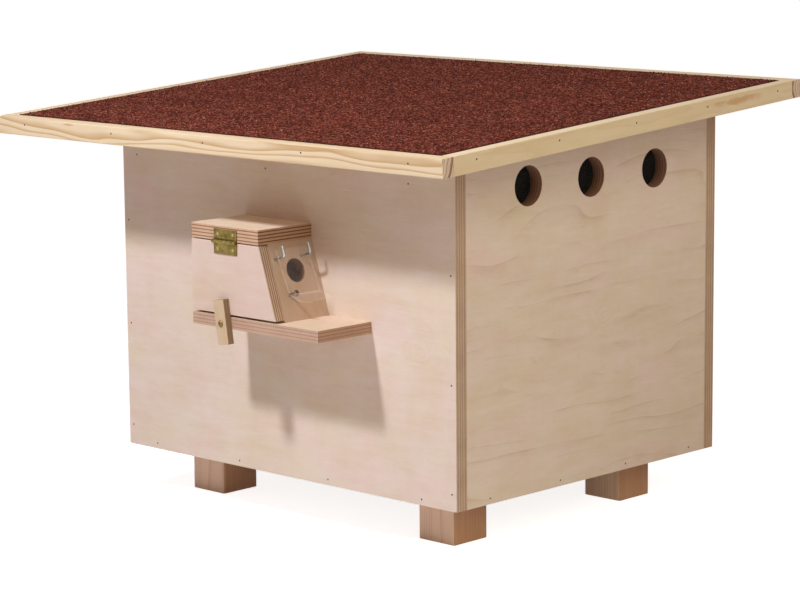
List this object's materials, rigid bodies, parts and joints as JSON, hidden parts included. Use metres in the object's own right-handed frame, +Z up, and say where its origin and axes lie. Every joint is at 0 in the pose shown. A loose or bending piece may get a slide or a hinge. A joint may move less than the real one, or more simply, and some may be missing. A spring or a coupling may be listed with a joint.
{
  "type": "bumblebee nest box",
  "caption": "Plywood nest box on feet with a sloping felted roof, round side vents and a front porch with a hanging clear entrance flap and a hinged, buttoned door.",
  "frame": {"origin": "on the ground under the middle of the roof", "axes": "+X to the right along the front wall, +Y from the front wall to the back wall, +Z up"},
  "size_m": [0.64, 0.543, 0.4427],
  "materials": {
    "birch_plywood": "bare sanded birch multiplex",
    "pine": "planed pine, untreated",
    "larch": "planed reddish softwood, untreated",
    "mineral_felt": "bitumen felt with red-brown mineral granules",
    "insect_mesh": "fine black mesh",
    "brass": "dull rolled brass",
    "zinc_wire": "bright zinc plate",
    "bronzed_screw": "browned",
    "clear_sheet": "clear, polished"
  },
  "bodies": {
    "box": {"floor_panel": "birch_plywood", "front_wall": "birch_plywood", "back_wall": "birch_plywood", "left_wall": "birch_plywood", "right_wall": "birch_plywood", "vent_mesh_left": "insect_mesh", "vent_mesh_right": "insect_mesh", "foot_front_left": "larch", "foot_front_right": "larch", "foot_back_left": "larch", "foot_back_right": "larch", "roof_panel": "birch_plywood", "roof_felt": "mineral_felt", "batten_front": "pine", "batten_back": "pine", "batten_left": "pine", "batten_right": "pine", "landing_board": "birch_plywood", "porch_side": "birch_plywood", "porch_roof": "birch_plywood", "porch_door": "birch_plywood", "entrance_board": "birch_plywood", "hinge_leaf_upper": "brass", "hinge_leaf_lower": "brass", "hinge_pin": "brass", "hook_front": "zinc_wire", "hook_rear": "zinc_wire", "stop_screw": "bronzed_screw", "button_screw": "brass"},
    "flap": {"flap": "clear_sheet"},
    "button": {"turn_button": "birch_plywood"}
  },
  "joints": [
    {"name": "flap_swing", "type": "hinge", "parent": "box", "child": "flap", "pos_m": [0.05733, -0.20616, 0.28878], "axis": [0, -1, 0], "range_deg": [0, 40]},
    {"name": "button_turn", "type": "hinge", "parent": "box", "child": "button", "pos_m": [-0.0025, -0.24146, 0.218], "axis": [0, -1, 0], "continuous": true}
  ]
}
